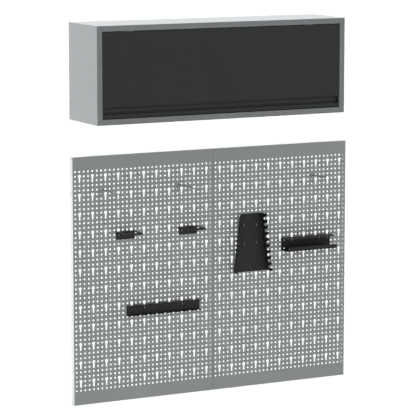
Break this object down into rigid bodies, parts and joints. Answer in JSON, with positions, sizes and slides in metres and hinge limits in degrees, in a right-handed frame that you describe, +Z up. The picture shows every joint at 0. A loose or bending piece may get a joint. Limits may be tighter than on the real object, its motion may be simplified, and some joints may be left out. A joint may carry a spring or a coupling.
{
  "type": "pegboard tool wall",
  "caption": "Wall-hung steel cabinet with a top-hinged flap door above a perforated steel pegboard with wire hooks, plier, screwdriver, spanner and drill holders.",
  "frame": {"origin": "centre of the cabinet's rear face, on the wall plane", "axes": "+Z up, +Y into the wall, -Y out of the wall towards the user, +X to the user's right"},
  "size_m": [1.1992, 0.253, 1.467],
  "materials": {
    "cabinet_paint": "light grey powder coat, fine texture, satin",
    "pegboard_paint": "light grey powder coat, fine texture, satin",
    "door_paint": "black powder coat, fine texture, satin",
    "holder_paint": "black powder coat, satin",
    "zinc_wire": "bright zinc plated wire",
    "zinc_fastener": "bright zinc plated steel",
    "stay_black": "black painted tube",
    "bumper_rubber": "matt black rubber"
  },
  "bodies": {
    "root": {"cabinet_side_left": "cabinet_paint", "cabinet_side_right": "cabinet_paint", "cabinet_top": "cabinet_paint", "cabinet_bottom": "cabinet_paint", "cabinet_back": "cabinet_paint", "bumper_left": "bumper_rubber", "bumper_right": "bumper_rubber", "hinge_body_leaf_left": "zinc_fastener", "hinge_pin_left": "zinc_fastener", "hinge_body_leaf_right": "zinc_fastener", "hinge_pin_right": "zinc_fastener", "stay_body_bracket_left": "zinc_fastener", "stay_body_bracket_right": "zinc_fastener", "pegboard_left": "pegboard_paint", "pegboard_right": "pegboard_paint", "edge_bolt_upper": "zinc_fastener", "edge_nut_upper": "zinc_fastener", "joining_bolt_upper": "zinc_fastener", "joining_nut_upper": "zinc_fastener", "edge_bolt_lower": "zinc_fastener", "edge_nut_lower": "zinc_fastener", "joining_bolt_lower": "zinc_fastener", "joining_nut_lower": "zinc_fastener"},
    "door": {"door_panel": "door_paint", "door_handle_profile": "door_paint", "door_cap_left": "door_paint", "door_cap_right": "door_paint", "hinge_door_leaf_left": "zinc_fastener", "hinge_door_leaf_right": "zinc_fastener", "stay_door_bracket_left": "zinc_fastener", "stay_door_bracket_right": "zinc_fastener"},
    "stay_cylinder_left": {"stay_cylinder_left": "stay_black"},
    "stay_rod_left": {"stay_rod_left": "zinc_fastener"},
    "stay_cylinder_right": {"stay_cylinder_right": "stay_black"},
    "stay_rod_right": {"stay_rod_right": "zinc_fastener"},
    "hook_long": {"hook_long": "zinc_wire"},
    "hook_medium": {"hook_medium": "zinc_wire"},
    "hook_short": {"hook_short": "zinc_wire"},
    "plier_holder_left": {"plier_holder_left": "holder_paint", "plier_holder_left_stud_1": "zinc_fastener", "plier_holder_left_stud_2": "zinc_fastener"},
    "plier_holder_right": {"plier_holder_right": "holder_paint", "plier_holder_right_stud_1": "zinc_fastener", "plier_holder_right_stud_2": "zinc_fastener"},
    "screwdriver_rack": {"screwdriver_rack": "holder_paint", "screwdriver_rack_stud_1": "zinc_fastener", "screwdriver_rack_stud_2": "zinc_fastener"},
    "spanner_holder": {"spanner_holder": "holder_paint", "spanner_holder_stud_1": "zinc_fastener", "spanner_holder_stud_2": "zinc_fastener", "spanner_holder_stud_3": "zinc_fastener", "spanner_holder_stud_4": "zinc_fastener"},
    "drill_tray": {"drill_tray": "holder_paint", "drill_tray_stud_1": "zinc_fastener", "drill_tray_stud_2": "zinc_fastener"}
  },
  "joints": [
    {"name": "door_flap", "type": "hinge", "parent": "root", "child": "door", "pos_m": [0, -0.244, 0.1495], "axis": [-1, 0, 0], "range_deg": [0, 90]},
    {"name": "stay_swing_left", "type": "hinge", "parent": "root", "child": "stay_cylinder_left", "pos_m": [-0.488, -0.128, 0.127], "axis": [-1, 0, 0], "range_deg": [0, 23.05]},
    {"name": "stay_extend_left", "type": "slide", "parent": "stay_cylinder_left", "child": "stay_rod_left", "axis": [0, -0.9386, -0.3451], "range_m": [0, 0.06773]},
    {"name": "stay_swing_right", "type": "hinge", "parent": "root", "child": "stay_cylinder_right", "pos_m": [0.488, -0.128, 0.127], "axis": [-1, 0, 0], "range_deg": [0, 23.05]},
    {"name": "stay_extend_right", "type": "slide", "parent": "stay_cylinder_right", "child": "stay_rod_right", "axis": [0, -0.9386, -0.3451], "range_m": [0, 0.06773]},
    {"name": "hook_long_tilt", "type": "hinge", "parent": "root", "child": "hook_long", "pos_m": [-0.406, -0.0214, -0.4535], "axis": [-1, 0, 0], "range_deg": [0, 30]},
    {"name": "hook_medium_tilt", "type": "hinge", "parent": "root", "child": "hook_medium", "pos_m": [-0.082, -0.0214, -0.4535], "axis": [-1, 0, 0], "range_deg": [0, 30]},
    {"name": "hook_short_tilt", "type": "hinge", "parent": "root", "child": "hook_short", "pos_m": [0.5165, -0.0214, -0.4535], "axis": [-1, 0, 0], "range_deg": [0, 30]},
    {"name": "plier_holder_left_lift", "type": "slide", "parent": "root", "child": "plier_holder_left", "axis": [0, 0, 1], "range_m": [0, 0.0215]},
    {"name": "plier_holder_right_lift", "type": "slide", "parent": "root", "child": "plier_holder_right", "axis": [0, 0, 1], "range_m": [0, 0.0215]},
    {"name": "screwdriver_rack_lift", "type": "slide", "parent": "root", "child": "screwdriver_rack", "axis": [0, 0, 1], "range_m": [0, 0.0215]},
    {"name": "spanner_holder_lift", "type": "slide", "parent": "root", "child": "spanner_holder", "axis": [0, 0, 1], "range_m": [0, 0.0215]},
    {"name": "drill_tray_lift", "type": "slide", "parent": "root", "child": "drill_tray", "axis": [0, 0, 1], "range_m": [0, 0.0215]}
  ],
  "couplings": [
    {"joint": "stay_swing_left", "follows": "door_flap", "ratio": 0.25501},
    {"joint": "stay_extend_left", "follows": "door_flap", "m_per_rad": 0.042991},
    {"joint": "stay_swing_right", "follows": "door_flap", "ratio": 0.25501},
    {"joint": "stay_extend_right", "follows": "door_flap", "m_per_rad": 0.042991}
  ]
}
